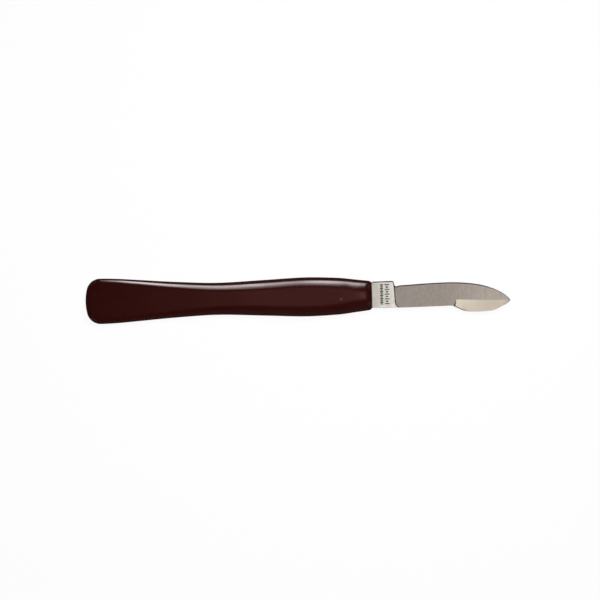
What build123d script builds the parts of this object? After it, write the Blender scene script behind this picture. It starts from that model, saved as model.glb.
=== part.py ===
from build123d import *
import os
from math import atan2, cos, pi, sin, sqrt

# A small fixed-blade craft knife, lying on one broad side, in millimetres.
# +X points to the blade tip, +Y to the spine side and +Z up. The origin is under the
# middle of the knife, at the height of the surface that it lies on.

# Driving dimensions
overall_length = 165.0
handle_length = 111.25
handle_thickness = 9.0
blade_length = overall_length - handle_length

blade_thickness = 2.0  # at the ricasso, the unground part next to the handle
ground_thickness = 1.45  # where the grinding starts
tip_thickness = 0.5
edge_land = 0.1  # what is left of the thickness along the cutting edge

tang_length = 48.0
tang_width = 6.5  # at the handle's front end
tang_end_width = 4.0
tang_corner = 1.2
tang_y = -0.4  # the tang's centre line

mortise_length = 52.0
mortise_width = 7.2
mortise_height = 2.8

pin_diameter = 2.0
pin_behind = 11.95  # the cross pin's distance behind the handle's front end
pin_y = -1.08
pin_recess = 0.15  # how far each pin end sits under the handle's face

front_x = handle_length - overall_length / 2  # the handle's front end
mid_z = handle_thickness / 2  # the middle plane of the handle and the blade

# Handle shape. Each point is the distance behind the front end, and the size there.
side_outline = [  # half widths: nose, belly, neck and tail, and then level
    (0.0, 5.60),
    (5.8, 6.29),
    (13.6, 7.19),
    (25.2, 7.60),
    (40.8, 6.98),
    (60.2, 6.24),
    (75.7, 6.92),
    (91.3, 8.06),
    (99.0, 8.62),
    (105.5, 8.85),
    (111.25, 8.85),
]
half_thicknesses = [  # a little over at the belly, where the slab planes it flat
    (0.0, 4.05),
    (5.8, 4.36),
    (14.0, 4.52),
    (41.0, 4.52),
    (60.2, 3.90),
    (75.7, 3.28),
    (91.3, 2.66),
    (111.25, 1.90),
]
edge_widths = [  # how far the rounding of the long edges reaches in
    (0.0, 4.90),
    (8.0, 4.90),
    (16.0, 4.10),
    (44.0, 4.00),
    (60.2, 3.50),
    (75.7, 2.95),
    (91.3, 2.42),
    (111.25, 1.70),
]
least_edge = 0.25  # the least and the most of the half width that one rounding takes
most_edge = 0.85
nose_corner = 1.3  # length of the rounding at the front end, in plan
nose_narrowing = 1.2
nose_length = 3.6  # length of the roll-over at the front end, in side view
nose_drop = 1.75
nose_ease = 1.4  # over 1 starts the roll-over gently
section_steps = 36
last_section = 0.01  # how close the last section is to the tail's end

# Tail end: a wide arc across the end, joined to each side by a corner arc.
tail_half_width = 8.85
tail_end_radius = 20.0
tail_corner_radius = 5.4
end_arc_behind = handle_length - tail_end_radius
corner_y = tail_half_width - tail_corner_radius
centre_distance = tail_end_radius - tail_corner_radius
corner_behind = end_arc_behind + sqrt(centre_distance**2 - corner_y**2)
corner_angle = atan2(corner_behind - end_arc_behind, corner_y)
junction_behind = corner_behind + tail_corner_radius * sin(corner_angle)

# Blade shape, as points in plan: distance ahead of the handle's front end, and y.
ricasso_line = [(0.0, 5.35), (8.4, 5.48), (9.05, 3.65), (9.6, 3.45)]
spine_line = [
    (9.6, 3.45),
    (20.0, 4.17),
    (30.0, 4.45),
    (38.8, 3.87),
    (46.6, 1.95),
    (51.0, -0.28),
    (53.75, -2.85),
]
cutting_edge = [(35.6, -6.65), (41.8, -7.15), (47.7, -6.48), (51.2, -4.85), (53.75, -2.85)]
lower_line = [(34.9, -6.30), (31.4, -4.62), (9.8, -4.92), (0.0, -4.82)]
plunge_line = [(8.85, 6.5), (9.1, 3.6), (9.35, -3.3), (10.5, -5.2), (10.5, -9.0)]
plunge_slope = 45  # degrees of the wall that ends the grinding
bevel_start = (32.6, -2.30)  # where the bevel's upper line meets its end wall
bevel_end = (53.75, -2.85)
wall_foot = (31.6, -4.80)
wall_fall = 0.4  # the end wall's drop for each millimetre across it
steepest_bevel = 0.45
bevel_stations = [30.0, 34.0, 38.0, 42.0, 46.0, 50.0, 54.0]

clear_reach = 25.0  # takes the end of any cutting shape clear of the knife


def curve(points, at):
    """The height at a place on a smooth curve through the points, with no overshoot."""
    spans = list(zip(points, points[1:]))
    slopes = [(b[1] - a[1]) / (b[0] - a[0]) for a, b in spans]
    tangents = [slopes[0]]
    for before, after in zip(slopes, slopes[1:]):
        turns = before * after <= 0
        tangents.append(0.0 if turns else 2 * before * after / (before + after))
    tangents.append(slopes[-1])
    i = max(k for k, (a, b) in enumerate(spans) if a[0] <= at or k == 0)
    a, b = spans[i]
    run = b[0] - a[0]
    t = (at - a[0]) / run
    ends = a[1] * (1 + 2 * t) * (1 - t) ** 2 + b[1] * t * t * (3 - 2 * t)
    return ends + run * t * (1 - t) * ((1 - t) * tangents[i] - t * tangents[i + 1])


def quarter_round(distance, length):
    """Rises from 0 at an end to 1 at the length, along a quarter circle."""
    return sqrt(1 - (1 - min(distance / length, 1)) ** 2)


def half_width(behind):
    """The handle's half width in plan: nose and sides, corner arcs, end arc."""
    if behind < corner_behind:
        nose = 1 - quarter_round(behind, nose_corner)
        return curve(side_outline, behind) - nose_narrowing * nose
    if behind < junction_behind:
        return corner_y + sqrt(tail_corner_radius**2 - (behind - corner_behind) ** 2)
    return sqrt(tail_end_radius**2 - (behind - end_arc_behind) ** 2)


def handle_section(behind):
    """One cross section: two flat sides joined by half-ellipse edges."""
    width = half_width(behind)
    edge = curve(edge_widths, behind)
    nose = 1 - quarter_round(behind, nose_length)
    tail = quarter_round(handle_length - behind, edge)
    thick = (curve(half_thicknesses, behind) - nose_drop * nose**nose_ease) * tail
    least = width * (1 - (1 - least_edge) * tail)
    edge = min(max(edge, least), most_edge * width)

    flat = width - edge
    across = Plane((front_x - behind, 0, mid_z), x_dir=(0, 1, 0), z_dir=(1, 0, 0))
    right = EllipticalCenterArc((flat, 0), edge, thick, -90, arc_size=180)
    top = Line((flat, thick), (-flat, thick))
    left = EllipticalCenterArc((-flat, 0), edge, thick, 90, arc_size=180)
    bottom = Line((-flat, -thick), (flat, -thick))
    return across * make_face([right, top, left, bottom])


def make_mortise():
    """The blind slot, with round sides, that takes the tang."""
    mouth = Plane((front_x, tang_y, mid_z), x_dir=(0, 1, 0), z_dir=(-1, 0, 0))
    return extrude(mouth * SlotOverall(mortise_width, mortise_height), mortise_length)


def make_cross_pin(length):
    """A cylinder of the pin's diameter at the pin's place."""
    place = Pos(front_x - pin_behind, pin_y, mid_z)
    return place * Cylinder(pin_diameter / 2, length)


def make_handle():
    """The wooden handle with its slot for the tang and its cross-pin hole."""
    # The sections lie closer together towards both ends, where the shape turns fastest.
    steps = [(1 - cos(pi * i / section_steps)) / 2 for i in range(section_steps)]
    places = [handle_length * step for step in steps] + [handle_length - last_section]
    wood = loft([handle_section(behind) for behind in places])
    # The slab planes the broad sides flat over the belly, where the knife rests.
    slab_middle = Pos(front_x - overall_length / 2, 0, mid_z)
    slab = slab_middle * Box(overall_length, clear_reach, handle_thickness)
    return (wood & slab) - make_mortise() - make_cross_pin(2 * handle_thickness)


def in_plan(points):
    """Plan points moved from the handle's front end into the part's frame."""
    return [(front_x + distance, y) for distance, y in points]


def blade_outline():
    """The blade's plan: ricasso, notch, spine, tip, cutting edge, heel and tang."""
    heel, belly, corner, tip_side, tip = in_plan(cutting_edge)
    tang_side = tang_width / 2
    tang_end = tang_end_width / 2
    tang_line = [
        (0.0, tang_y - tang_side),
        (-tang_length, tang_y - tang_end),
        (-tang_length, tang_y + tang_end),
        (0.0, tang_y + tang_side),
    ]
    outline = [
        Polyline(in_plan(ricasso_line)),
        Spline(in_plan(spine_line)),
        ThreePointArc(tip, tip_side, corner),
        ThreePointArc(corner, belly, heel),
        Polyline([heel] + in_plan(lower_line + tang_line + ricasso_line[:1])),
    ]
    plan = make_face(outline)
    return fillet(plan.vertices().sort_by(Axis.X)[:2], tang_corner)


def half_ground(distance):
    """Half the ground blade's thickness at a distance ahead of the handle."""
    start = plunge_line[1][0]
    share = (distance - start) / (blade_length - start)
    return (ground_thickness + (tip_thickness - ground_thickness) * share) / 2


def make_grinding():
    """What the grinding takes off the upper face, from the sloped plunge line on."""
    start = plunge_line[1][0]
    fall = (ground_thickness - tip_thickness) / 2 / (blade_length - start)
    middle = (front_x + start, 0, mid_z + ground_thickness / 2)
    ground = Plane(middle, x_dir=(1, 0, -fall), z_dir=(fall, 0, 1))
    beyond = blade_length + clear_reach
    corners = plunge_line + [(beyond, plunge_line[-1][1]), (beyond, plunge_line[0][1])]
    region = make_face(Polyline([(d - start, y) for d, y in corners], close=True))
    return extrude(ground * region, blade_thickness, taper=-plunge_slope)


def make_bevel():
    """What the honing takes off the upper face below the bevel line."""
    lean = (bevel_end[1] - bevel_start[1]) / (bevel_end[0] - bevel_start[0])
    sections = []
    for distance in bevel_stations:
        line_y = bevel_start[1] + lean * (distance - bevel_start[0])
        depth = half_ground(distance) - edge_land / 2
        reach = line_y - curve(cutting_edge, max(distance, cutting_edge[0][0]))
        slope = min(depth / max(reach, edge_land), steepest_bevel)
        outside = line_y - clear_reach
        outside_height = half_ground(distance) - slope * clear_reach
        top = half_ground(distance) + blade_thickness
        across = Plane(
            (front_x + distance, 0, mid_z), x_dir=(0, 1, 0), z_dir=(1, 0, 0)
        )
        corners = [
            (line_y, half_ground(distance)),
            (outside, outside_height),
            (outside, top),
            (line_y, top),
        ]
        sections.append(across * make_face(Polyline(corners, close=True)))
    return loft(sections) & make_bevel_side()


def make_bevel_side():
    """The space on the tip's side of the bevel's sloped end wall."""
    across = (wall_foot[1] - bevel_start[1], bevel_start[0] - wall_foot[0])
    length = sqrt(across[0] ** 2 + across[1] ** 2)
    downhill = (-across[0] / length, -across[1] / length, -wall_fall)
    uphill = (-across[0] / length * wall_fall, -across[1] / length * wall_fall, 1)
    start = (front_x + bevel_start[0], bevel_start[1], mid_z + half_ground(bevel_start[0]))
    wall = Plane(start, x_dir=downhill, z_dir=uphill)
    sides = 2 * clear_reach
    return wall * Box(sides, sides, clear_reach, align=(Align.CENTER, Align.CENTER, Align.MIN))


def make_blade():
    """The blade: one steel blank with ground faces, bevels and a pinned tang."""
    middle = Plane((0, 0, mid_z))
    blade = extrude(middle * blade_outline(), blade_thickness / 2, both=True)
    for cutter in (make_grinding(), make_bevel()):
        blade = blade - cutter - mirror(cutter, middle)
    return blade - make_cross_pin(2 * handle_thickness)


def make_cement(blade):
    """The cured cement that fills the slot round the tang and the pin."""
    return make_mortise() - blade - make_cross_pin(2 * handle_thickness)


blade = make_blade()
nodes = {
    "handle": make_handle(),
    "blade": blade,
    "tang_pin": make_cross_pin(handle_thickness - 2 * pin_recess),
    "tang_cement": make_cement(blade),
}
os.makedirs("parts", exist_ok=True)
for name, shape in nodes.items():
    export_step(shape, f"parts/{name}.step")
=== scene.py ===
"""The looks of a small fixed-blade craft knife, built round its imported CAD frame.

Sizes are in millimetres, in the CAD frame: +X to the blade tip, +Y to the spine side and
+Z up. Vertices are scaled to metres as they are made. The floor, the backdrop and the soft
boxes are given in metres.
"""

from math import atan2, cos, hypot, pi, radians, sin, sqrt, tan

import bmesh
import bpy
import numpy as np
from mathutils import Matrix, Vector, kdtree
from mathutils.geometry import delaunay_2d_cdt


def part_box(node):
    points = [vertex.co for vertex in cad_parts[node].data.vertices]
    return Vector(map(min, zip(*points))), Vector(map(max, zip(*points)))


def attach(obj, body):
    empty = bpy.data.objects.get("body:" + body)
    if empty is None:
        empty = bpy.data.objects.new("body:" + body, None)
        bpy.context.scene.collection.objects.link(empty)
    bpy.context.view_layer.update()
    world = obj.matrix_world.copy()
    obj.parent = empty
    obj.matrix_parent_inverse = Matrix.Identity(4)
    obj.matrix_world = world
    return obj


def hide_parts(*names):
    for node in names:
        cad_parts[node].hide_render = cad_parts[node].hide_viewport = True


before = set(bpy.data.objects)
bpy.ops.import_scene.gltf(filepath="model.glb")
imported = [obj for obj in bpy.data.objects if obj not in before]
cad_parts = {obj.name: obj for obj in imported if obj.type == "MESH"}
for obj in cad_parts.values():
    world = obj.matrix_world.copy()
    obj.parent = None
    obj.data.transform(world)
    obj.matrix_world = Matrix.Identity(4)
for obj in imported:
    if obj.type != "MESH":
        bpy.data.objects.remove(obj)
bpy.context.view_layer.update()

MM = 0.001
handle_low, handle_high = (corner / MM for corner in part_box("handle"))
blade_low, blade_high = (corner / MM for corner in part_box("blade"))
pin_low, pin_high = (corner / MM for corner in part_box("tang_pin"))
cement_low, cement_high = (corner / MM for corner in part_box("tang_cement"))

FRONT_X = handle_high.x  # the handle's front end
HANDLE_LENGTH = handle_high.x - handle_low.x
MID_Z = (handle_low.z + handle_high.z) / 2  # the middle plane of handle and blade
TANG_Y = (cement_low.y + cement_high.y) / 2  # the middle line of the tang and its slot
BELLY = (handle_high.z - handle_low.z) / 2  # the handle's greatest half thickness
BLADE_LENGTH = blade_high.x - FRONT_X
HALF_BLANK = (blade_high.z - blade_low.z) / 2

# ---------------------------------------------------------------- curves in plan


def curve(points, at):
    """The height at a place on a smooth curve through the points, with no overshoot."""
    spans = list(zip(points, points[1:]))
    slopes = [(b[1] - a[1]) / (b[0] - a[0]) for a, b in spans]
    tangents = [slopes[0]]
    for before, after in zip(slopes, slopes[1:]):
        turns = before * after <= 0
        tangents.append(0.0 if turns else 2 * before * after / (before + after))
    tangents.append(slopes[-1])
    i = max(k for k, (a, b) in enumerate(spans) if a[0] <= at or k == 0)
    a, b = spans[i]
    run = b[0] - a[0]
    t = (at - a[0]) / run
    ends = a[1] * (1 + 2 * t) * (1 - t) ** 2 + b[1] * t * t * (3 - 2 * t)
    return ends + run * t * (1 - t) * ((1 - t) * tangents[i] - t * tangents[i + 1])


def quarter_round(distance, length):
    """Rises from 0 at an end to 1 at the length, along a quarter circle."""
    return sqrt(1 - (1 - min(distance / length, 1)) ** 2)


def evenly(points, spacing):
    """The same open line with points at an even spacing, and both ends kept."""
    spans = [hypot(b[0] - a[0], b[1] - a[1]) for a, b in zip(points, points[1:])]
    steps = max(1, round(sum(spans) / spacing))
    made = [points[0]]
    walked = 0.0
    target = sum(spans) / steps
    for (a, b), span in zip(zip(points, points[1:]), spans):
        while len(made) < steps and walked + span >= target * len(made):
            share = (target * len(made) - walked) / span
            made.append((a[0] + share * (b[0] - a[0]), a[1] + share * (b[1] - a[1])))
        walked += span
    return made + [points[-1]]


def to_object(name, verts, faces, materials, indices=None):
    """A smooth mesh object from points in millimetres, in the CAD frame."""
    mesh = bpy.data.meshes.new(name)
    mesh.from_pydata([Vector(v) * MM for v in verts], [], faces)
    for material in materials:
        mesh.materials.append(material)
    if indices:
        mesh.polygons.foreach_set("material_index", indices)
    mesh.polygons.foreach_set("use_smooth", [True] * len(faces))
    piece = bpy.data.objects.new(name, mesh)
    bpy.context.scene.collection.objects.link(piece)
    return piece


# ---------------------------------------------------------------- handle

TAIL_HALF_WIDTH = 8.82  # a hair under the CAD handle's, to stay inside its box
# Each point is the distance behind the front end, and the size there.
SIDE_OUTLINE = [
    (0.0, 5.60),
    (5.8, 6.29),
    (13.6, 7.19),
    (25.2, 7.60),
    (40.8, 6.98),
    (60.2, 6.24),
    (75.7, 6.92),
    (91.3, 8.06),
    (99.0, 8.62),
    (105.5, TAIL_HALF_WIDTH),
    (HANDLE_LENGTH, TAIL_HALF_WIDTH),
]
HALF_THICKNESS = [
    (0.0, 4.05),
    (5.8, 4.34),
    (14.0, BELLY),
    (41.0, BELLY),
    (60.2, 3.90),
    (75.7, 3.28),
    (91.3, 2.66),
    (HANDLE_LENGTH, 1.90),
]
EDGE_WIDTH = [
    (0.0, 5.10),
    (8.0, 5.10),
    (16.0, 4.25),
    (44.0, 4.10),
    (60.2, 3.50),
    (75.7, 2.95),
    (91.3, 2.42),
    (HANDLE_LENGTH, 1.70),
]
MOST_EDGE = 0.85  # the most of the half width that one rounding takes
NOSE_CORNER = 1.3
NOSE_NARROWING = 1.2
NOSE_LENGTH = 3.6
NOSE_EASE = 1.4  # over 1 starts the roll-over at the nose gently
NOSE_DROP = 1.75

TAIL_END_RADIUS = 20.0
TAIL_CORNER_RADIUS = 5.4
END_ARC = HANDLE_LENGTH - TAIL_END_RADIUS
CORNER_Y = TAIL_HALF_WIDTH - TAIL_CORNER_RADIUS
CORNER = END_ARC + sqrt((TAIL_END_RADIUS - TAIL_CORNER_RADIUS) ** 2 - CORNER_Y**2)
JUNCTION_ANGLE = atan2(CORNER_Y, CORNER - END_ARC)
JUNCTION = END_ARC + TAIL_END_RADIUS * cos(JUNCTION_ANGLE)

PIN_BEHIND = FRONT_X - (pin_low.x + pin_high.x) / 2
PIN_Y = (pin_low.y + pin_high.y) / 2
PIN_RADIUS = (pin_high.x - pin_low.x) / 2
DIMPLE_DEPTH = 0.05
DIMPLE_REACH = 1.1 * PIN_RADIUS

HANDLE_STEPS = 150  # sections along the handle
HALF_RING_STEPS = 72  # faces over the top of one section
FINE_REACH = 1.4 * PIN_RADIUS  # the finer mesh over the pin's end
FINE_STEP = 0.12
FINE_BEARING_REACH = 0.2  # the same round the section, in radians
FINE_BEARING_STEP = 0.018
SLOT_SHARES = (0, 0.25, 0.5, 0.75, 0.95, 0.995, 1)  # rings from the slot's floor to its mouth
END_FACE_SHARES = (0.08, 0.5, 0.9)  # rings from the slot's mouth to the nose
SIDE_BEARING = pi / 2 - 1e-6  # a bearing past this one lies on the middle plane


def half_width(behind):
    """The handle's half width in plan: nose and sides, corner arcs, end arc."""
    if behind < CORNER:
        nose = 1 - quarter_round(behind, NOSE_CORNER)
        return curve(SIDE_OUTLINE, behind) - NOSE_NARROWING * nose
    if behind < JUNCTION:
        return CORNER_Y + sqrt(TAIL_CORNER_RADIUS**2 - (behind - CORNER) ** 2)
    return sqrt(max(TAIL_END_RADIUS**2 - (behind - END_ARC) ** 2, 0.0))


def edge_distance(behind, y):
    """How far inside the handle's outline a point in plan lies."""
    y = abs(y)
    from_end = TAIL_END_RADIUS - hypot(behind - END_ARC, y)
    if behind > CORNER and atan2(y, behind - END_ARC) > JUNCTION_ANGLE:
        return TAIL_CORNER_RADIUS - hypot(behind - CORNER, y - CORNER_Y)
    if behind > CORNER:
        return from_end
    from_side = half_width(behind) - y
    return min(from_side, from_end) if behind > END_ARC else from_side


def pin_dimple(behind, y):
    """How far the lacquer has sunk over the end of the cross pin."""
    away = hypot(behind - PIN_BEHIND, y - PIN_Y) / DIMPLE_REACH
    if away >= 1:
        return 0.0
    return DIMPLE_DEPTH * (1 - away * away) ** 2


def handle_height(behind, y):
    """The handle's half thickness at a point in plan."""
    nose = 1 - quarter_round(behind, NOSE_LENGTH)
    full = curve(HALF_THICKNESS, behind) - NOSE_DROP * nose**NOSE_EASE
    from_edge = max(edge_distance(behind, y), 0.0)
    widest = MOST_EDGE * half_width(min(behind, CORNER))
    rounding = quarter_round(from_edge, min(curve(EDGE_WIDTH, behind), widest))
    return full * rounding - pin_dimple(behind, y)


def lines_near(centre, reach, step, base):
    """The base values with a fine set added round a centre."""
    count = round(2 * reach / step)
    fine = [centre - reach + step * k for k in range(count + 1)]
    kept = [v for v in base if not centre - reach - step < v < centre + reach + step]
    return sorted(kept + fine)


def section_ring(behind, bearings, height, width, middle_y=0.0):
    """One closed ring: over the top from one side to the other and back underneath."""
    top = []
    for bearing in bearings:
        y = width * sin(bearing)
        edge = abs(bearing) > SIDE_BEARING
        top.append((FRONT_X - behind, middle_y + y, 0.0 if edge else height(y)))
    under = [(x, y, -z) for x, y, z in top[-2:0:-1]]
    return [(x, y, MID_Z + z) for x, y, z in top + under]


def bridge(faces, first, second, count):
    """Quads between two rings of the same size, given their first vertices."""
    for k in range(count):
        n = (k + 1) % count
        faces.append((first + k, second + k, second + n, first + n))


def make_handle(lacquer, bare_wood):
    """The lacquered handle: one closed skin with the blind slot for the tang."""
    steps = HANDLE_STEPS
    stations = [HANDLE_LENGTH * (1 - cos(pi * i / steps)) / 2 for i in range(steps)]
    stations = lines_near(PIN_BEHIND, FINE_REACH, FINE_STEP, stations)
    bearings = [pi * (i / HALF_RING_STEPS - 0.5) for i in range(HALF_RING_STEPS + 1)]
    pin_bearing = PIN_Y / half_width(PIN_BEHIND)
    bearings = lines_near(pin_bearing, FINE_BEARING_REACH, FINE_BEARING_STEP, bearings)

    slot_radius = (cement_high.z - cement_low.z) / 2
    slot_side = (cement_high.y - cement_low.y) / 2
    slot_depth = cement_high.x - cement_low.x

    def slot_height(y):
        return slot_radius * quarter_round(slot_side - abs(y), slot_radius)

    slot_floor = section_ring(slot_depth, bearings, slot_height, slot_side, TANG_Y)
    slot_mouth = section_ring(0.0, bearings, slot_height, slot_side, TANG_Y)
    nose_edge = section_ring(
        0.0, bearings, lambda y: handle_height(0.0, y), half_width(0.0)
    )
    count = len(slot_mouth)

    # From the slot's floor to its mouth, over the end face and along the outside.
    rings = []
    for share in SLOT_SHARES:
        rings.append(mixed(slot_floor, slot_mouth, share))
    inner_rings = len(rings)
    for share in END_FACE_SHARES:
        rings.append(mixed(slot_mouth, nose_edge, share))
    for behind in stations:
        width = half_width(behind)
        ring = section_ring(
            behind, bearings, lambda y: handle_height(behind, y), width
        )
        rings.append(ring)

    verts = [vert for ring in rings for vert in ring]
    faces = []
    for k in range(len(rings) - 1):
        bridge(faces, k * count, (k + 1) * count, count)
    bare_end = inner_rings * count  # every vertex before this one is in the slot

    # The slot's floor is closed across, and the tail ends in one point.
    across = len(bearings)
    for k in range(across - 1):
        floor = (k, k + 1, (count - k - 1) % count, (count - k) % count)
        faces.append(tuple(dict.fromkeys(floor)))
    tail = len(verts)
    verts.append((FRONT_X - HANDLE_LENGTH, 0.0, MID_Z))
    last = (len(rings) - 1) * count
    for k in range(count):
        faces.append((last + k, tail, last + (k + 1) % count))

    bare = [1 if max(face) < bare_end else 0 for face in faces]
    piece = to_object("handle_lacquered", verts, faces, [lacquer, bare_wood], bare)
    finish_mesh(piece)
    return piece


def mixed(first, second, share):
    """A ring part of the way between two rings."""
    return [
        tuple(a + share * (b - a) for a, b in zip(one, other))
        for one, other in zip(first, second)
    ]


# ---------------------------------------------------------------- blade

# In plan: the distance ahead of the handle's front end, and y.
RICASSO_LINE = [(9.4, 3.32), (8.82, 3.55), (8.30, 5.46), (0.0, 5.35)]
RICASSO_CORNERS = [0.35, 0.45]
SPINE_LINE = [
    (9.4, 3.32),
    (10.0, 3.46),
    (10.8, 3.66),
    (13.6, 3.80),
    (20.0, 4.17),
    (30.0, 4.46),
    (33.0, 4.38),
    (36.5, 4.15),
    (41.5, 3.43),
    (46.6, 1.94),
    (50.5, 0.03),
    (52.8, -1.78),
    (BLADE_LENGTH, -2.85),
]
CUTTING_EDGE = [
    (34.9, -6.46),
    (36.9, -6.90),
    (38.0, -7.00),
    (41.6, -7.15),
    (45.8, -6.87),
    (47.9, -6.43),
    (49.7, -5.55),
    (51.65, -4.63),
    (53.2, -3.54),
    (BLADE_LENGTH, -2.85),
]
HEEL_LINE = [(31.35, -4.60), (32.2, -5.14), (33.4, -5.68), (34.9, -6.46)]
LOWER_LINE = [(0.0, -4.82), (9.8, -4.92), (31.35, -4.60)]

TANG_LENGTH = 48.0
TANG_WIDTH = 6.5  # at the handle's front end
TANG_END_WIDTH = 4.0
TANG_CORNER = 1.2
SHOULDER_CORNER = 0.15

GROUND_HALF = 0.725  # half the ground blade's thickness, where the grinding starts
TIP_HALF = 0.25
EDGE_HALF = 0.05
POINT_LENGTH = 6.0  # the stretch that thins further, down to the point
POINT_THINNING = 0.12
PLUNGE_LINE = [  # here the y comes first, and then the distance ahead
    (-7.5, 12.6),
    (-4.8, 10.4),
    (-4.0, 9.64),
    (-3.2, 9.32),
    (3.6, 8.86),
    (6.5, 8.66),
]
PLUNGE_STEEPNESS = 0.62
BEVEL_START = (32.6, -2.30)  # where the bevel's upper line meets its end wall
WALL_FOOT = (31.6, -4.80)
WALL_FALL = 0.4
STEEPEST_BEVEL = 0.45

# How far the edges are rounded: one size, or the sizes at a stretch's start and end.
LOWER_ROUNDING = 0.06
CUTTING_ROUNDING = (0.28, 0.02)
SPINE_ROUNDING = (0.16, 0.42)
TANG_ROUNDING = 0.05

MARK_DEPTH = 0.06
MARK_WALL = 0.04
BAR_COLUMN = 5.78  # how far ahead the column of bars and lozenges is
BAR_PLACES = [4.05 - 0.92 * k for k in range(9)]
BAR_SIZE = (0.92, 0.19)  # half the length and half the breadth
LOZENGE_SIZE = (0.70, 0.33)
LOZENGE_CORNER = 0.08
LOZENGE_SPACING = 0.12
DOT_COLUMN = 3.70
DOT_PLACES = [4.02 - 0.67 * k for k in range(12)]
DOT_SIZES = ((0.66, 0.24), (0.40, 0.24))

BLADE_MESH = 0.7  # the spacing of the points inside the blade's faces
ROW_SHARE = 0.87  # the height of an even triangle, as a share of its side
CLEAR_SHARE = 0.45  # how near a line a point may be, as a share of the spacing
MESH_LOW = -7.2  # the y of the lowest row of points
MESH_HEIGHT = 14
PIN_HOLE_POINTS = 32
PIN_HOLE_REACH = 1.5 * PIN_RADIUS  # a boundary point this near the pin is on its hole
SHARED_POINT = 1e-6  # points nearer than this, in millimetres, are one

# The spacing of the points along the stretches of the outline, and where flats meet.
LOWER_SPACING = 0.4
CUTTING_SPACING = 0.3
SPINE_SPACING = 0.35
RICASSO_SPACING = 0.15
TANG_SPACING = 0.4
PLUNGE_SPACING = 0.25
BEVEL_SPACING = 0.5
WALL_SPACING = 0.3
FOOT_SPACING = 0.25

FOOT_STEPS = 15
FOOT_SEARCH = (WALL_FOOT[0] - 1, BEVEL_START[0] + 4)  # the end wall's foot is between these
HALVINGS = 40
WALL_REACH = 1.5  # how far the end wall's line goes, as a share of the way to its foot
ARC_STEP = 15  # about how many degrees lie between two points of a rounded corner
LEAST_MITRE = 0.6  # keeps the step outwards at a sharp corner short
EDGE_ANGLES = (30, 60, 90)  # degrees of the rings that round an edge over
ROUNDING_CHANGE = 4  # a rounding changes over the first quarter of its stretch

# The finishes, in the order of the blade's materials; the walls, the rounded rims and the spine
# carry painted shade.
RICASSO, GROUND, BEVEL, SHADED_WALL, SHADED_RIM, MARK, SHADED_SPINE = range(7)


def ground_half(ahead):
    """Half the ground blade's thickness, which falls evenly, and faster at the point."""
    start = PLUNGE_LINE[-1][1]
    fall = (GROUND_HALF - TIP_HALF) / (BLADE_LENGTH - start)
    point = max(1 - (BLADE_LENGTH - ahead) / POINT_LENGTH, 0.0)
    return GROUND_HALF - fall * (ahead - start) - POINT_THINNING * point**2


def bevel_line(ahead):
    """The y of the straight upper edge of the honed bevel."""
    lean = (SPINE_LINE[-1][1] - BEVEL_START[1]) / (BLADE_LENGTH - BEVEL_START[0])
    return BEVEL_START[1] + lean * (ahead - BEVEL_START[0])


def bevel_half(ahead, y):
    """Half the thickness between the two honed bevels, if they had no end."""
    edge = curve(CUTTING_EDGE, min(max(ahead, CUTTING_EDGE[0][0]), BLADE_LENGTH))
    reach = max(bevel_line(ahead) - edge, EDGE_HALF)
    slope = min((ground_half(ahead) - EDGE_HALF) / reach, STEEPEST_BEVEL)
    return ground_half(ahead) - slope * (bevel_line(ahead) - y)


def wall_half(ahead, y):
    """Half the thickness between the sloped end walls of the two bevels."""
    run = (BEVEL_START[0] - WALL_FOOT[0], BEVEL_START[1] - WALL_FOOT[1])
    away = (ahead - BEVEL_START[0], y - BEVEL_START[1])
    across = (away[0] * run[1] - away[1] * run[0]) / hypot(*run)
    return ground_half(BEVEL_START[0]) - WALL_FALL * across


def plunge_half(ahead, y):
    """Half the thickness between the walls that end the grinding at the ricasso."""
    rise = max(curve(PLUNGE_LINE, y) - ahead, 0.0)
    return ground_half(ahead) + PLUNGE_STEEPNESS * rise


def blade_half(ahead, y):
    """Half the blade's thickness at a point in plan."""
    bevel = max(bevel_half(ahead, y), wall_half(ahead, y), EDGE_HALF)
    return min(HALF_BLANK, plunge_half(ahead, y), bevel)


def blade_zone(ahead, y):
    """The finish of a face of the blade, by a point in plan."""
    if plunge_half(ahead, y) >= HALF_BLANK:
        return RICASSO
    if curve(PLUNGE_LINE, y) > ahead:
        return SHADED_WALL
    if max(bevel_half(ahead, y), wall_half(ahead, y)) >= ground_half(ahead):
        return GROUND
    return SHADED_WALL if wall_half(ahead, y) > bevel_half(ahead, y) else BEVEL


def rim_zone(ahead, y):
    """The finish of the blade's side face, painted dark as shade; the ground blade's spine
    darker still.
    """
    return SHADED_SPINE if ahead > SPINE_LINE[0][0] and y > bevel_line(ahead) else SHADED_RIM


def rounded(points, radii):
    """An open line with each inner corner turned into an arc of its radius."""
    made = [points[0]]
    for before, corner, after, radius in zip(points, points[1:], points[2:], radii):
        one = (Vector(before) - Vector(corner)).normalized()
        other = (Vector(after) - Vector(corner)).normalized()
        turn = pi - one.angle(other)
        back = radius * tan(turn / 2)
        centre = Vector(corner) + (one + other).normalized() * (radius / cos(turn / 2))
        first = Vector(corner) + one * back - centre
        last = Vector(corner) + other * back - centre
        steps = max(2, round(turn / radians(ARC_STEP)))
        for k in range(steps + 1):
            spoke = first * sin(turn * (1 - k / steps)) + last * sin(turn * k / steps)
            made.append(tuple(centre + spoke / sin(turn)))
    return made + [points[-1]]


def sampled(table, start, end, spacing):
    """Points on a curved line, from one distance ahead to another."""
    steps = max(1, round(abs(end - start) / spacing))
    places = [start + (end - start) * k / steps for k in range(steps + 1)]
    return [(place, curve(table, place)) for place in places]


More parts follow.
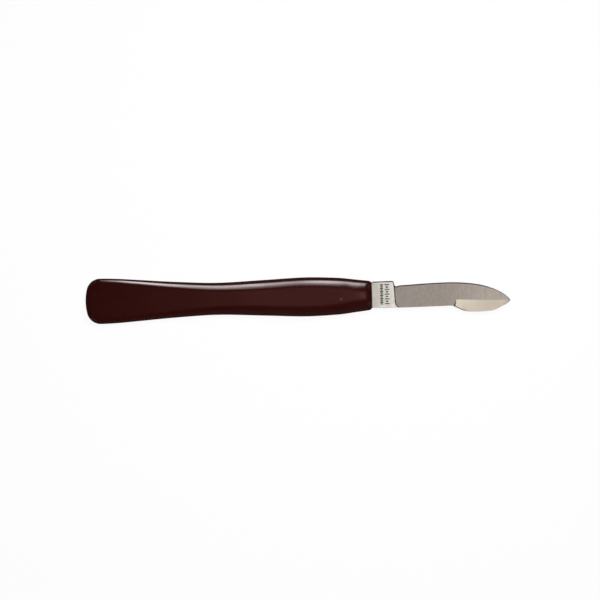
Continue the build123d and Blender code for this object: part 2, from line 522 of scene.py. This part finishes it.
def blade_outline():
    """The blade in plan, anticlockwise, and how far each point's edge is rounded."""
    side, end = TANG_WIDTH / 2, TANG_END_WIDTH / 2
    tang = [
        RICASSO_LINE[-1],
        (0.0, TANG_Y + side),
        (-TANG_LENGTH, TANG_Y + end),
        (-TANG_LENGTH, TANG_Y - end),
        (0.0, TANG_Y - side),
        LOWER_LINE[0],
    ]
    tang_corners = [SHOULDER_CORNER, TANG_CORNER, TANG_CORNER, SHOULDER_CORNER]
    heel, heel_end = HEEL_LINE[0][0], HEEL_LINE[-1][0]
    tip, notch = BLADE_LENGTH, SPINE_LINE[0][0]
    ricasso = evenly(rounded(RICASSO_LINE, RICASSO_CORNERS), RICASSO_SPACING)
    heel_rounding, ricasso_rounding = CUTTING_ROUNDING[0], SPINE_ROUNDING[1]
    # Each stretch has the rounding of its edges at its start and at its end.
    stretches = [
        (sampled(LOWER_LINE, 0.0, heel, LOWER_SPACING), LOWER_ROUNDING, LOWER_ROUNDING),
        (sampled(HEEL_LINE, heel, heel_end, CUTTING_SPACING), LOWER_ROUNDING, heel_rounding),
        (sampled(CUTTING_EDGE, heel_end, tip, CUTTING_SPACING), *CUTTING_ROUNDING),
        (sampled(SPINE_LINE, tip, notch, SPINE_SPACING), *SPINE_ROUNDING),
        (ricasso, ricasso_rounding, ricasso_rounding),
        (evenly(rounded(tang, tang_corners), TANG_SPACING), TANG_ROUNDING, TANG_ROUNDING),
    ]
    points = []
    rounding = []
    for line, first, last in stretches:
        points += line[:-1]
        count = len(line) - 1
        for k in range(count):
            rounding.append(first + (last - first) * min(ROUNDING_CHANGE * k / count, 1))
    return points, rounding


def outward(loop, k):
    """The way straight out of an anticlockwise loop at one of its points."""
    before = Vector(loop[k]) - Vector(loop[k - 1])
    after = Vector(loop[(k + 1) % len(loop)]) - Vector(loop[k])
    one = Vector((before.y, -before.x)).normalized()
    other = Vector((after.y, -after.x)).normalized()
    between = (one + other).normalized()
    return between / max(between.dot(one), LEAST_MITRE)


def inset(loop, distances):
    """An anticlockwise loop moved inwards by a distance at each point."""
    return [
        tuple(Vector(point) - outward(loop, k) * distances[k]) for k, point in enumerate(loop)
    ]


def within(points, loop):
    """Which of the points lie inside a closed loop."""
    points = np.array(points)
    ends = np.array(loop)
    starts = np.roll(ends, 1, axis=0)
    x, y = points[:, :1], points[:, 1:]
    crosses = (starts[:, 1] > y) != (ends[:, 1] > y)
    rise = ends[:, 1] - starts[:, 1]
    share = (y - starts[:, 1]) / np.where(rise == 0, 1.0, rise)
    where = starts[:, 0] + share * (ends[:, 0] - starts[:, 0])
    return (crosses & (x < where)).sum(axis=1) % 2 == 1


def middle(first, second):
    """The point half way between two points in plan."""
    return ((first[0] + second[0]) / 2, (first[1] + second[1]) / 2)


def lozenge(ahead, y, half_length, half_breadth):
    """A mark shaped like a diamond with slightly blunt corners."""
    line = [
        (ahead + half_length, y),
        (ahead, y + half_breadth),
        (ahead - half_length, y),
        (ahead, y - half_breadth),
    ]
    start = middle(line[-1], line[0])
    corners = [LOZENGE_CORNER] * len(line)
    return evenly(rounded([start] + line + [start], corners), LOZENGE_SPACING)[:-1]


def bar(ahead, y, half_length, half_breadth):
    """A mark shaped like a short bar with round ends."""
    reach = half_length - half_breadth
    steps = 6
    line = []
    for side in (1, -1):
        for k in range(steps + 1):
            angle = pi * (k / steps - 0.5)
            x = ahead + side * (reach + half_breadth * cos(angle))
            line.append((x, y + side * half_breadth * sin(angle)))
    return line


def blade_marks():
    """A plain border of bars, lozenges and dots pressed into one side of the ricasso."""
    marks = []
    for k, y in enumerate(BAR_PLACES):
        if k % 2:
            marks.append(lozenge(BAR_COLUMN, y, *LOZENGE_SIZE))
        else:
            marks.append(bar(BAR_COLUMN, y, *BAR_SIZE))
    for k, y in enumerate(DOT_PLACES):
        marks.append(bar(DOT_COLUMN, y, *DOT_SIZES[k % 2]))
    return marks


def crease_lines():
    """The lines in plan where one flat of the blade meets another."""
    plunge = sampled(PLUNGE_LINE, PLUNGE_LINE[0][0], PLUNGE_LINE[-1][0], PLUNGE_SPACING)
    foot = [(ahead, y) for y, ahead in plunge]
    top = []
    for ahead, y in foot:
        rise = (HALF_BLANK - ground_half(ahead)) / PLUNGE_STEEPNESS
        top.append((ahead - rise, y))
    past_tip = BLADE_LENGTH + 1
    bevel = [BEVEL_START, (past_tip, bevel_line(past_tip))]
    run = Vector(WALL_FOOT) - Vector(BEVEL_START)
    wall_top = [BEVEL_START, tuple(Vector(BEVEL_START) + run * WALL_REACH)]
    wall_foot = [BEVEL_START]
    for k in range(1, FOOT_STEPS + 1):
        y = BEVEL_START[1] - FOOT_SPACING * k
        wall_foot.append((wall_meets_bevel(y), y))
    return [
        foot, top, evenly(bevel, BEVEL_SPACING), evenly(wall_top, WALL_SPACING), wall_foot
    ]


def wall_meets_bevel(y):
    """How far ahead the end wall's foot is at a y, found by halving."""
    low, high = FOOT_SEARCH
    for _ in range(HALVINGS):
        ahead = (low + high) / 2
        if wall_half(ahead, y) > bevel_half(ahead, y):
            low = ahead
        else:
            high = ahead
    return low


def fill_points(lines, outline, hole):
    """Evenly spread points inside the blade, clear of all the lines."""
    known = point_tree(lines)
    rows = round(MESH_HEIGHT / (BLADE_MESH * ROW_SHARE))
    columns = round((TANG_LENGTH + BLADE_LENGTH) / BLADE_MESH)
    grid = []
    for row in range(rows):
        for column in range(columns):
            ahead = -TANG_LENGTH + (column + row % 2 / 2) * BLADE_MESH
            y = MESH_LOW + row * BLADE_MESH * ROW_SHARE
            if known.find((ahead, y, 0))[2] > CLEAR_SHARE * BLADE_MESH:
                grid.append((ahead, y))
    keep = within(grid, outline) & ~within(grid, hole)
    return [point for point, kept in zip(grid, keep) if kept]


def plan_mesh(face_edge, marks):
    """The blade's face in plan: its points, its triangles and their finish marks.

    A point comes with whether it is on the sunk floor of a mark, and a triangle with its
    centre and whether it belongs to a mark.
    """
    turns = [2 * pi * k / PIN_HOLE_POINTS for k in range(PIN_HOLE_POINTS)]
    hole = [(PIN_RADIUS * cos(a) - PIN_BEHIND, PIN_Y + PIN_RADIUS * sin(a)) for a in turns]
    points = []
    edges = []
    sunk = set()

    def add_line(line, closed):
        first = len(points)
        points.extend(line)
        count = len(line)
        last = count if closed else count - 1
        edges.extend((first + k, first + (k + 1) % count) for k in range(last))

    add_line(face_edge, True)
    add_line(hole, True)
    for line in crease_lines():
        add_line(line, False)
    for mark in marks:
        add_line(mark, True)
        first = len(points)
        add_line(inset(mark, [MARK_WALL] * len(mark)), True)
        sunk.update(range(first, len(points)))
    points += fill_points(points, face_edge, hole)

    made, _, triangles, sources, _, _ = delaunay_2d_cdt(
        [Vector(point) for point in points], edges, [], 0, SHARED_POINT
    )
    centres = [tuple((made[a] + made[b] + made[c]) / 3) for a, b, c in triangles]
    keep = within(centres, face_edge) & ~within(centres, hole)
    triangles = [tri for tri, kept in zip(triangles, keep) if kept]
    centres = [centre for centre, kept in zip(centres, keep) if kept]
    marked = np.zeros(len(centres), dtype=bool)
    for mark in marks:
        marked |= within(centres, mark)
    on_floor = [any(s in sunk for s in source) for source in sources]
    return list(zip(made, on_floor)), list(zip(triangles, centres, marked))


def make_blade(materials):
    """The steel blank: both faces, rounded edges, ground flats, bevels and the tang."""
    outline, rounding = blade_outline()
    face_edge = inset(outline, rounding)
    rim = point_tree(face_edge)
    points, triangles = plan_mesh(face_edge, blade_marks())

    verts = []
    faces = []
    zones = []
    for side in (1, -1):
        first = len(verts)
        for place, on_floor in points:
            drop = MARK_DEPTH if side > 0 and on_floor else 0.0
            half = blade_half(place.x, place.y) - drop
            verts.append((FRONT_X + place.x, place.y, MID_Z + side * half))
        for tri, centre, in_mark in triangles:
            order = tri if side > 0 else tri[::-1]
            faces.append(tuple(first + k for k in order))
            zones.append(MARK if in_mark and side > 0 else blade_zone(*centre))

        # The boundary of the kept triangles, walked and rounded over to the sides.
        for loop in boundary_loops([tri for tri, _, _ in triangles]):
            line = [tuple(points[k][0]) for k in loop]
            radii = [edge_rounding(point, rounding, rim) for point in line]
            ring = [first + k for k in loop]
            for angle in (*EDGE_ANGLES, None):  # the last ring lies on the middle plane
                start = len(verts)
                for k, (point, radius) in enumerate(zip(line, radii)):
                    turn = radians(angle or 90)
                    out = outward(line, k) * radius * sin(turn)
                    full = blade_half(*point)
                    half = full - min(radius, full) * (1 - cos(turn)) if angle else 0.0
                    x, y = point[0] + out.x, point[1] + out.y
                    verts.append((FRONT_X + x, y, MID_Z + side * half))
                for k in range(len(ring)):
                    n = (k + 1) % len(ring)
                    quad = (ring[k], start + k, start + n, ring[n])
                    faces.append(quad if side > 0 else quad[::-1])
                    zones.append(rim_zone(*line[k]))
                ring = [start + k for k in range(len(ring))]
    piece = to_object("blade_steel", verts, faces, materials, zones)
    finish_mesh(piece)
    return piece


def boundary_loops(triangles):
    """The closed lines round a set of triangles, as vertex numbers in order."""
    follows = {}
    sides = {(tri[k], tri[(k + 1) % 3]) for tri in triangles for k in range(3)}
    for a, b in sides:
        if (b, a) not in sides:
            follows[a] = b
    loops = []
    while follows:
        first = min(follows)
        loop = [first]
        k = follows.pop(first)
        while k != first:
            loop.append(k)
            k = follows.pop(k)
        loops.append(loop)
    return loops


def point_tree(points):
    """A tree that finds the nearest of some points in plan."""
    tree = kdtree.KDTree(len(points))
    for k, point in enumerate(points):
        tree.insert((*point, 0), k)
    tree.balance()
    return tree


def edge_rounding(point, rounding, rim):
    """How far the blade's edge is rounded at a point of the boundary."""
    if hypot(point[0] + PIN_BEHIND, point[1] - PIN_Y) < PIN_HOLE_REACH:
        return 0.0
    return rounding[rim.find((*point, 0))[1]]


CREASE = 35  # degrees: a sharper edge than this is shaded as an edge
SAME_PLACE = 1e-7  # metres: vertices nearer than this are joined
NO_LENGTH = 1e-8  # metres: an edge shorter than this is taken out


def finish_mesh(piece):
    """Joins the two halves and keeps the edges between two finishes crisp."""
    work = bmesh.new()
    work.from_mesh(piece.data)
    loose = [vert for vert in work.verts if not vert.link_faces]
    bmesh.ops.delete(work, geom=loose, context="VERTS")
    bmesh.ops.remove_doubles(work, verts=work.verts, dist=SAME_PLACE)
    bmesh.ops.dissolve_degenerate(work, edges=work.edges, dist=NO_LENGTH)
    bmesh.ops.recalc_face_normals(work, faces=work.faces)
    for edge in work.edges:
        kinds = {face.material_index for face in edge.link_faces}
        sharp = len(kinds) > 1 or edge.calc_face_angle(0.0) > radians(CREASE)
        edge.smooth = not sharp
    work.to_mesh(piece.data)
    work.free()


# ---------------------------------------------------------------- materials


class Nodes:
    """A short way to build one material's node tree."""

    def __init__(self, name):
        self.material = bpy.data.materials.new(name)
        self.material.use_nodes = True
        self.tree = self.material.node_tree
        self.shader = self.tree.nodes["Principled BSDF"]
        self.place = self.add("ShaderNodeTexCoord").outputs["Object"]

    def add(self, kind, **settings):
        """A new node with its settings."""
        node = self.tree.nodes.new(kind)
        for key, value in settings.items():
            setattr(node, key, value)
        return node

    def link(self, source, target):
        """Leads one node's output to another's input."""
        self.tree.links.new(source, target)

    def stretched(self, scale):
        """The place in the piece, in metres, scaled along each axis."""
        mapping = self.add("ShaderNodeMapping")
        mapping.inputs["Scale"].default_value = scale
        self.link(self.place, mapping.inputs["Vector"])
        return mapping.outputs["Vector"]

    def noise(self, scale, detail=2.0, roughness=0.5):
        """Noise whose scale is the number of features for each metre on each axis."""
        node = self.add("ShaderNodeTexNoise")
        node.inputs["Scale"].default_value = 1.0
        node.inputs["Detail"].default_value = detail
        node.inputs["Roughness"].default_value = roughness
        self.link(self.stretched(scale), node.inputs["Vector"])
        return node.outputs["Fac"]

    def graded(self, axis, stops):
        """Follows straight lines through stops, each a place in millimetres and a value."""
        split = self.add("ShaderNodeSeparateXYZ")
        self.link(self.place, split.inputs["Vector"])
        low, high = stops[0][0], stops[-1][0]
        most = max(value for _, value in stops)
        node = self.add("ShaderNodeValToRGB")
        for at, _ in stops[1:-1]:
            node.color_ramp.elements.new((at - low) / (high - low))
        for element, (_, value) in zip(node.color_ramp.elements, stops):
            element.color = (value / most, value / most, value / most, 1.0)
        share = self.ramp(split.outputs[axis], low * MM, high * MM, 0.0, 1.0)
        self.link(share, node.inputs["Fac"])
        return self.ramp(node.outputs["Color"], 0.0, 1.0, 0.0, most)

    def away_from(self, x, y):
        """The distance in plan from an upright axis, in metres."""
        mapping = self.add("ShaderNodeMapping")
        mapping.inputs["Location"].default_value = (-x * MM, -y * MM, 0.0)
        mapping.inputs["Scale"].default_value = (1.0, 1.0, 0.0)
        self.link(self.place, mapping.inputs["Vector"])
        length = self.add("ShaderNodeVectorMath", operation="LENGTH")
        self.link(mapping.outputs["Vector"], length.inputs[0])
        return length.outputs["Value"]

    def ramp(self, value, low, high, start, end):
        """A number that goes from start to end while the value goes from low to high."""
        node = self.add("ShaderNodeMapRange")
        node.inputs["From Min"].default_value = low
        node.inputs["From Max"].default_value = high
        node.inputs["To Min"].default_value = start
        node.inputs["To Max"].default_value = end
        self.link(value, node.inputs["Value"])
        return node.outputs["Result"]

    def mix(self, factor, first, second):
        """A colour between two colours."""
        node = self.add("ShaderNodeMix", data_type="RGBA")
        for index, colour in ((6, first), (7, second)):
            if isinstance(colour, tuple):
                node.inputs[index].default_value = (*colour, 1.0)
            else:
                self.link(colour, node.inputs[index])
        self.link(factor, node.inputs[0])
        return node.outputs[2]

    def bump(self, height, depth, below=None):
        """A bump whose height is given in millimetres, on top of another one."""
        node = self.add("ShaderNodeBump")
        node.inputs["Strength"].default_value = 1.0
        node.inputs["Distance"].default_value = depth * MM
        self.link(height, node.inputs["Height"])
        if below:
            self.link(below, node.inputs["Normal"])
        return node.outputs["Normal"]

    def set(self, **values):
        """Sets plain values on the shader: an underscore stands for a space in a name."""
        for key, value in values.items():
            self.shader.inputs[key.replace("_", " ")].default_value = value


RUBBED = 0.15  # how much of the gloss is left on the flats, which the hand rubs
FLAT_LEVEL = 0.995  # the upright part of the normal where the flat is rubbed most
EDGE_LEVEL = 0.965  # and where the full gloss of the edges starts


def lacquer_material():
    """Dark maroon lacquer: faint grain, orange peel, glossier edges, painted pin highlight."""
    n = Nodes("lacquer_maroon")
    grain = n.noise((20, 450, 450), detail=1.0)
    cloud = n.noise((60, 90, 90), detail=2.0)
    streak = n.ramp(grain, 0.3, 0.7, 0.0, 1.0)
    colour = n.mix(streak, (0.0300, 0.0048, 0.0038), (0.0330, 0.0056, 0.0045))
    colour = n.mix(n.ramp(cloud, 0.35, 0.65, 0.0, 0.5), colour, (0.0275, 0.0042, 0.0033))
    # Painted highlight: the lacquer is painted lighter round the pin's end.
    spot = n.away_from(FRONT_X - PIN_BEHIND, PIN_Y)
    painted_pin_highlight = n.ramp(spot, 0.35 * PIN_RADIUS * MM, 0.75 * PIN_RADIUS * MM, 0.55, 0.0)
    colour = n.mix(painted_pin_highlight, colour, (0.105, 0.052, 0.048))
    n.link(colour, n.shader.inputs["Base Color"])
    peel = n.noise((420, 700, 700), detail=1.0)
    fine = n.noise((2600, 2600, 2600), detail=1.0)
    wave = n.bump(peel, 0.010)
    skin = n.bump(fine, 0.0010, below=wave)
    n.link(skin, n.shader.inputs["Normal"])
    n.link(skin, n.shader.inputs["Coat Normal"])
    n.link(n.ramp(cloud, 0.3, 0.7, 0.42, 0.55), n.shader.inputs["Roughness"])
    facing = n.add("ShaderNodeSeparateXYZ")
    n.link(n.add("ShaderNodeTexCoord").outputs["Normal"], facing.inputs["Vector"])
    level = n.add("ShaderNodeMath", operation="ABSOLUTE")
    n.link(facing.outputs["Z"], level.inputs[0])
    gloss = n.ramp(level.outputs["Value"], EDGE_LEVEL, FLAT_LEVEL, 1.0, RUBBED)
    n.link(gloss, n.shader.inputs["Coat Weight"])
    n.set(Coat_Roughness=0.12, Coat_IOR=1.5, Specular_IOR_Level=0.0)
    return n.material


def bare_wood_material():
    """Pale close-grained hardwood inside the tang's slot."""
    n = Nodes("bare_hardwood")
    grain = n.noise((60, 1500, 1500), detail=5.0)
    colour = n.mix(n.ramp(grain, 0.3, 0.7, 0.0, 1.0), (0.36, 0.22, 0.12), (0.22, 0.12, 0.06))
    n.link(colour, n.shader.inputs["Base Color"])
    n.link(n.bump(grain, 0.03), n.shader.inputs["Normal"])
    n.set(Roughness=0.75)
    return n.material


STAIN = 0.8  # the colour of a stain, as a share of the steel's dark colour
COOL = (0.92, 0.97, 1.05)  # that of a cool patch, as shares of its light colour


def steel_material(
    name, dark, light, scale, depth, roughness, metallic=1.0, painted_light=(), blotch=1.0
):
    """Steel with fine marks: scale sets how they run, depth how deep they are.

    Each painted-light grade is an axis with places along it, in millimetres, and how much
    the colour is lightened or darkened at each, as painted light and shade. The blotch says
    how strong the stains are.
    """
    n = Nodes(name)
    marks = n.noise(scale, detail=3.0, roughness=0.7)
    cloud = n.noise((900, 600, 600), detail=4.0, roughness=0.6)
    patch = n.noise((420, 300, 300), detail=2.0)
    colour = n.mix(n.ramp(marks, 0.25, 0.75, 0.0, 1.0), dark, light)
    shade = tuple(STAIN * a for a in dark)
    colour = n.mix(n.ramp(cloud, 0.35, 0.7, 0.0, 0.6 * blotch), colour, shade)
    cool = tuple(share * a for share, a in zip(COOL, light))
    colour = n.mix(n.ramp(patch, 0.35, 0.65, 0.0, 0.35 * blotch), colour, cool)
    # Painted light and shade: the colour is scaled up or down along an axis.
    for axis, stops in painted_light:
        painted_gain = n.add("ShaderNodeVectorMath", operation="SCALE")
        n.link(colour, painted_gain.inputs[0])
        n.link(n.graded(axis, stops), painted_gain.inputs["Scale"])
        colour = painted_gain.outputs["Vector"]
    n.link(colour, n.shader.inputs["Base Color"])
    low, high = roughness
    n.link(n.ramp(marks, 0.25, 0.75, low, high), n.shader.inputs["Roughness"])
    n.link(n.bump(marks, depth), n.shader.inputs["Normal"])
    n.set(Metallic=metallic)
    return n.material


def blade_steels():
    """One steel for each finish of the blade, in the order of the finishes."""
    return [
        steel_material(
            "steel_satin", (0.74, 0.698, 0.618), (0.88, 0.83, 0.735),
            scale=(4000, 4000, 4000), depth=0.004, roughness=(0.45, 0.55), metallic=0.55,
            # Painted light: darker next to the handle, lighter towards the blade and along the
            # lower edge.
            painted_light=[
                ("X", [(FRONT_X + 1.0, 0.87), (FRONT_X + 8.0, 1.15)]),
                ("Y", [(-4.2, 1.08), (-3.2, 1.0), (5.0, 1.0)]),
            ],
        ),
        steel_material(
            "steel_ground", (0.565, 0.484, 0.421), (0.692, 0.596, 0.518),
            scale=(3500, 260, 260), depth=0.003, roughness=(0.30, 0.40), metallic=0.85,
            # Painted highlight: the ground face is painted lighter towards the tip.
            painted_light=[("X", [(FRONT_X + 28.0, 1.0), (FRONT_X + 46.0, 1.34)])],
        ),
        steel_material(
            "steel_honed", (0.81, 0.706, 0.57), (0.868, 0.76, 0.617),
            scale=(3000, 200, 200), depth=0.0004, roughness=(0.26, 0.26), metallic=0.9,
            # Painted shade: the honed bevel is painted darker towards the tip.
            painted_light=[("X", [(FRONT_X + 34.0, 1.08), (FRONT_X + 52.0, 0.80)])], blotch=0.3,
        ),
        # Painted shade: the plunge and end walls are painted dark, lighter across the middle of
        # the blade's height and darker above and below.
        steel_material(
            "steel_wall_painted_shade", (0.20, 0.172, 0.140), (0.32, 0.28, 0.235),
            scale=(900, 3000, 3000), depth=0.004, roughness=(0.4, 0.55),
            painted_light=[("Y", [(-2.3, 0.52), (-1.5, 1.42), (1.0, 1.42), (3.0, 0.44)])],
        ),
        # Painted shade: the rounded edges of the blade are painted nearly black.
        steel_material(
            "steel_edge_painted_shade", (0.040, 0.035, 0.029), (0.070, 0.062, 0.052),
            scale=(500, 500, 5000), depth=0.004, roughness=(0.5, 0.65), metallic=0.5,
        ),
        steel_material(
            "steel_mark", (0.08, 0.07, 0.055), (0.15, 0.13, 0.105),
            scale=(4000, 4000, 4000), depth=0.004, roughness=(0.5, 0.7),
        ),
        # Painted shade: the spine of the ground blade is painted darker still.
        steel_material(
            "steel_spine_painted_shade", (0.03, 0.028, 0.026), (0.06, 0.056, 0.052),
            scale=(500, 500, 5000), depth=0.004, roughness=(0.6, 0.75), metallic=0.4,
        ),
    ]


def cement_material():
    """Dark brown cured cement with a few pores."""
    n = Nodes("cured_cement")
    pores = n.noise((3000, 3000, 3000), detail=3.0)
    paler = n.ramp(pores, 0.35, 0.65, 0.0, 1.0)
    colour = n.mix(paler, (0.020, 0.010, 0.007), (0.045, 0.024, 0.016))
    n.link(colour, n.shader.inputs["Base Color"])
    n.link(n.bump(pores, 0.02), n.shader.inputs["Normal"])
    n.link(n.ramp(pores, 0.3, 0.7, 0.5, 0.7), n.shader.inputs["Roughness"])
    return n.material


# ---------------------------------------------------------------- stage, light, camera


def glow_material(name, colour, glow, diffuse):
    """A pale matt surface that glows a little, so that shadows on it stay faint."""
    n = Nodes(name)
    n.set(Base_Color=(diffuse, diffuse, diffuse, 1.0), Roughness=1.0)
    n.set(Emission_Color=(*colour, 1.0), Emission_Strength=glow, Specular_IOR_Level=0.0)
    return n.material


FLOOR_RADIUS = 3.0  # metres
BACKDROP_RADIUS = 6.0  # metres


def make_stage():
    """A pale floor under the knife and a white backdrop all round."""
    bpy.ops.mesh.primitive_circle_add(vertices=96, radius=FLOOR_RADIUS, fill_type="NGON")
    floor = bpy.context.object
    floor.name = "floor"
    floor_glow = glow_material("pale_floor", (1, 1, 1), glow=0.95, diffuse=0.06)
    floor.data.materials.append(floor_glow)
    floor.visible_glossy = False

    bpy.ops.mesh.primitive_uv_sphere_add(segments=64, ring_count=32, radius=BACKDROP_RADIUS)
    backdrop = bpy.context.object
    backdrop.name = "backdrop"
    backdrop_glow = glow_material("white_backdrop", (1, 1, 1), glow=1.0, diffuse=0.0)
    backdrop.data.materials.append(backdrop_glow)
    backdrop.visible_glossy = False
    backdrop.visible_diffuse = False
    backdrop.visible_shadow = False


def only_on(lamp, piece):
    """A light or a glowing card that lights one piece alone."""
    group = bpy.data.collections.new(lamp.name + "_on")
    group.objects.link(piece)
    lamp.light_linking.receiver_collection = group


BOX_HEIGHT = 1.2  # metres, as all the boxes are
CARD_HEIGHT = 1250.0  # millimetres: over the boxes, so that it hides none of them
KEY_AWAY = 250.0  # how far the upright card stands off on the spine side
# How much each card glows: a place along an axis, in millimetres, and the glow there.
CARD_ALONG = [
    (-300, 0.03),
    (-260, 0.15),
    (-190, 0.26),
    (-130, 0.48),
    (0, 0.48),
    (110, 0.46),
    (145, 0.55),
    (185, 1.35),
    (235, 1.35),
    (330, 0.7),
    (450, 0.1),
    (600, 0.0),
]
CARD_ACROSS = [
    (-500, 0.0),
    (-350, 0.06),
    (-100, 0.45),
    (-40, 1.0),
    (30, 1.0),
    (120, 0.5),
    (400, 0.0),
]
KEY_ALONG = [
    (-112, 0.0),
    (-100, 3.0),
    (-92, 7.5),
    (-78, 13.0),
    (-70, 18.5),
    (-63, 17.5),
    (-56, 11.0),
    (-51, 6.5),
    (-46, 9.5),
    (-41, 14.0),
    (-33, 10.5),
    (-24, 8.0),
    (-6, 6.0),
    (5, 9.0),
    (15, 11.5),
    (30, 11.8),
    (50, 10.0),
    (70, 9.2),
    (76, 6.8),
    (82, 3.5),
    (90, 0.8),
    (105, 0.0),
]
KEY_UP = [
    (-12, 0.0),
    (14, 0.6),
    (44, 1.0),
    (124, 1.0),
    (160, 0.70),
    (215, 0.42),
    (290, 0.24),
    (390, 0.12),
    (530, 0.04),
    (700, 0.0),
]


def area_light(name, centre, aim, size, radiance, diffuse=True, glossy=True):
    """A soft box of a width and a height in metres, turned to aim at a point."""
    data = bpy.data.lights.new(name, "AREA")
    data.shape = "RECTANGLE"
    data.size, data.size_y = size
    data.energy = radiance * pi * size[0] * size[1]
    lamp = bpy.data.objects.new(name, data)
    lamp.location = centre
    direction = Vector(aim) - Vector(centre)
    lamp.rotation_mode = "QUATERNION"
    lamp.rotation_quaternion = direction.to_track_quat("-Z", "Y")
    lamp.visible_camera = False
    lamp.visible_diffuse = diffuse
    lamp.visible_glossy = glossy
    bpy.context.scene.collection.objects.link(lamp)
    return lamp


def overhead(name, x, y, radiance, piece):
    """A level box over one piece, between two x and two y in metres."""
    centre = ((x[0] + x[1]) / 2, (y[0] + y[1]) / 2)
    size = (x[1] - x[0], y[1] - y[0])
    lamp = area_light(name, (*centre, BOX_HEIGHT), (*centre, 0), size, radiance)
    only_on(lamp, piece)


def glow_card(name, along, other, place, colour):
    """A card that glows by a smooth pattern along X and along one other axis.

    The other axis is Y for a level card and Z for an upright one, and the place is where
    the card lies on the remaining axis, in millimetres.
    """
    axis, stops = other
    n = Nodes(name + "_glow")
    glow = n.add("ShaderNodeMath", operation="MULTIPLY")
    n.link(n.graded("X", along), glow.inputs[0])
    n.link(n.graded(axis, stops), glow.inputs[1])
    n.set(Base_Color=(0, 0, 0, 1), Roughness=1.0, Emission_Color=(*colour, 1.0))
    n.link(glow.outputs["Value"], n.shader.inputs["Emission Strength"])
    corners = []
    for first, second in ((0, 0), (0, -1), (-1, -1), (-1, 0)):
        x, spot = along[first][0], stops[second][0]
        corners.append((x, spot, place) if axis == "Y" else (x, place, spot))
    card = to_object(name, corners, [(0, 1, 2, 3)], [n.material])
    card.visible_camera = False
    card.visible_diffuse = False
    card.visible_shadow = False
    return card


def make_world():
    """Dim surroundings for the gloss, lighter towards the horizon and below it."""
    world = bpy.data.worlds.new("studio")
    bpy.context.scene.world = world
    world.use_nodes = True
    tree = world.node_tree
    place = tree.nodes.new("ShaderNodeTexCoord")
    split = tree.nodes.new("ShaderNodeSeparateXYZ")
    fade = tree.nodes.new("ShaderNodeMapRange")
    limits = {"From Min": 0.05, "From Max": 0.60, "To Min": 0.06, "To Max": 0.005}
    for socket, value in limits.items():
        fade.inputs[socket].default_value = value
    tree.links.new(place.outputs["Generated"], split.inputs["Vector"])
    tree.links.new(split.outputs["Z"], fade.inputs["Value"])
    background = tree.nodes["Background"]
    background.inputs["Color"].default_value = (1.0, 0.85, 0.82, 1.0)
    tree.links.new(fade.outputs["Result"], background.inputs["Strength"])


def make_lights(handle, blade):
    """A glowing card for each of the handle's highlights, and boxes for all the rest."""
    key = glow_card("key", KEY_ALONG, ("Z", KEY_UP), KEY_AWAY, (1.0, 0.92, 0.92))
    only_on(key, handle)
    area_light(
        "base", centre=(0.05, 0.08, 0.30), aim=(0.01, 0, 0), size=(0.12, 0.12), radiance=19.5,
        glossy=False,
    )
    area_light(
        "low_fill", centre=(0.0, -0.6, 0.1), aim=(0, 0, 0), size=(0.6, 0.15), radiance=2.0,
        glossy=False,
    )
    for k, (x, y) in enumerate([(1, 1), (1, -1), (-1, 1), (-1, -1)]):
        area_light(
            f"corner_{k}", centre=(1.1 * x, 1.1 * y, 0.75), aim=(0, 0, 0), size=(0.9, 0.7),
            radiance=0.25, diffuse=False,
        )
    overhead("over_blade", x=(0.085, 0.40), y=(-0.15, 0.15), radiance=0.59, piece=blade)
    fill = area_light(
        "blade_fill", centre=(0.06, 0.30, 0.50), aim=(0.03, 0, 0), size=(0.3, 0.3), radiance=1.0
    )
    only_on(fill, blade)
    overhead("over_tip", x=(0.22, 0.50), y=(-0.15, 0.35), radiance=0.20, piece=blade)
    overhead("over_edge", x=(0.12, 0.40), y=(-0.50, -0.08), radiance=1.6, piece=blade)
    # The level card makes up for the gloss that is rubbed off the flats.
    along = [(x, glow / RUBBED) for x, glow in CARD_ALONG]
    sheen = glow_card("sheen", along, ("Y", CARD_ACROSS), CARD_HEIGHT, (1.0, 0.47, 0.45))
    only_on(sheen, handle)
    make_world()


VIEW_WIDTH = 233.0  # how much of the scene the picture takes in
VIEW_CENTRE = (0.76, -1.16)  # the x and y in the middle of the picture
VIEW_TURN = 1.25  # degrees that the camera is turned, clockwise from above
LENS = 110.0  # focal length


def make_camera():
    """A camera straight above the knife, turned a little to the knife's length."""
    data = bpy.data.cameras.new("camera")
    data.lens = LENS
    distance = VIEW_WIDTH / 2 / (data.sensor_width / 2 / LENS)
    camera = bpy.data.objects.new("camera", data)
    camera.location = Vector((*VIEW_CENTRE, MID_Z + distance)) * MM
    camera.rotation_euler = (0, 0, radians(-VIEW_TURN))
    bpy.context.scene.collection.objects.link(camera)
    bpy.context.scene.camera = camera
    bpy.context.scene.view_settings.view_transform = "Standard"


# ---------------------------------------------------------------- the whole knife

make_camera()
handle = make_handle(lacquer_material(), bare_wood_material())
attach(handle, "root")
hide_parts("handle")

blade = make_blade(blade_steels())
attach(blade, "root")
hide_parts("blade")

pin_steel = steel_material(
    "pin_wire", (0.45, 0.44, 0.42), (0.6, 0.59, 0.57), (3000, 3000, 300), 0.002, (0.3, 0.45)
)
for name, material in (("tang_pin", pin_steel), ("tang_cement", cement_material())):
    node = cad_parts[name]
    node.data.materials.clear()
    node.data.materials.append(material)

make_stage()
make_lights(handle, blade)
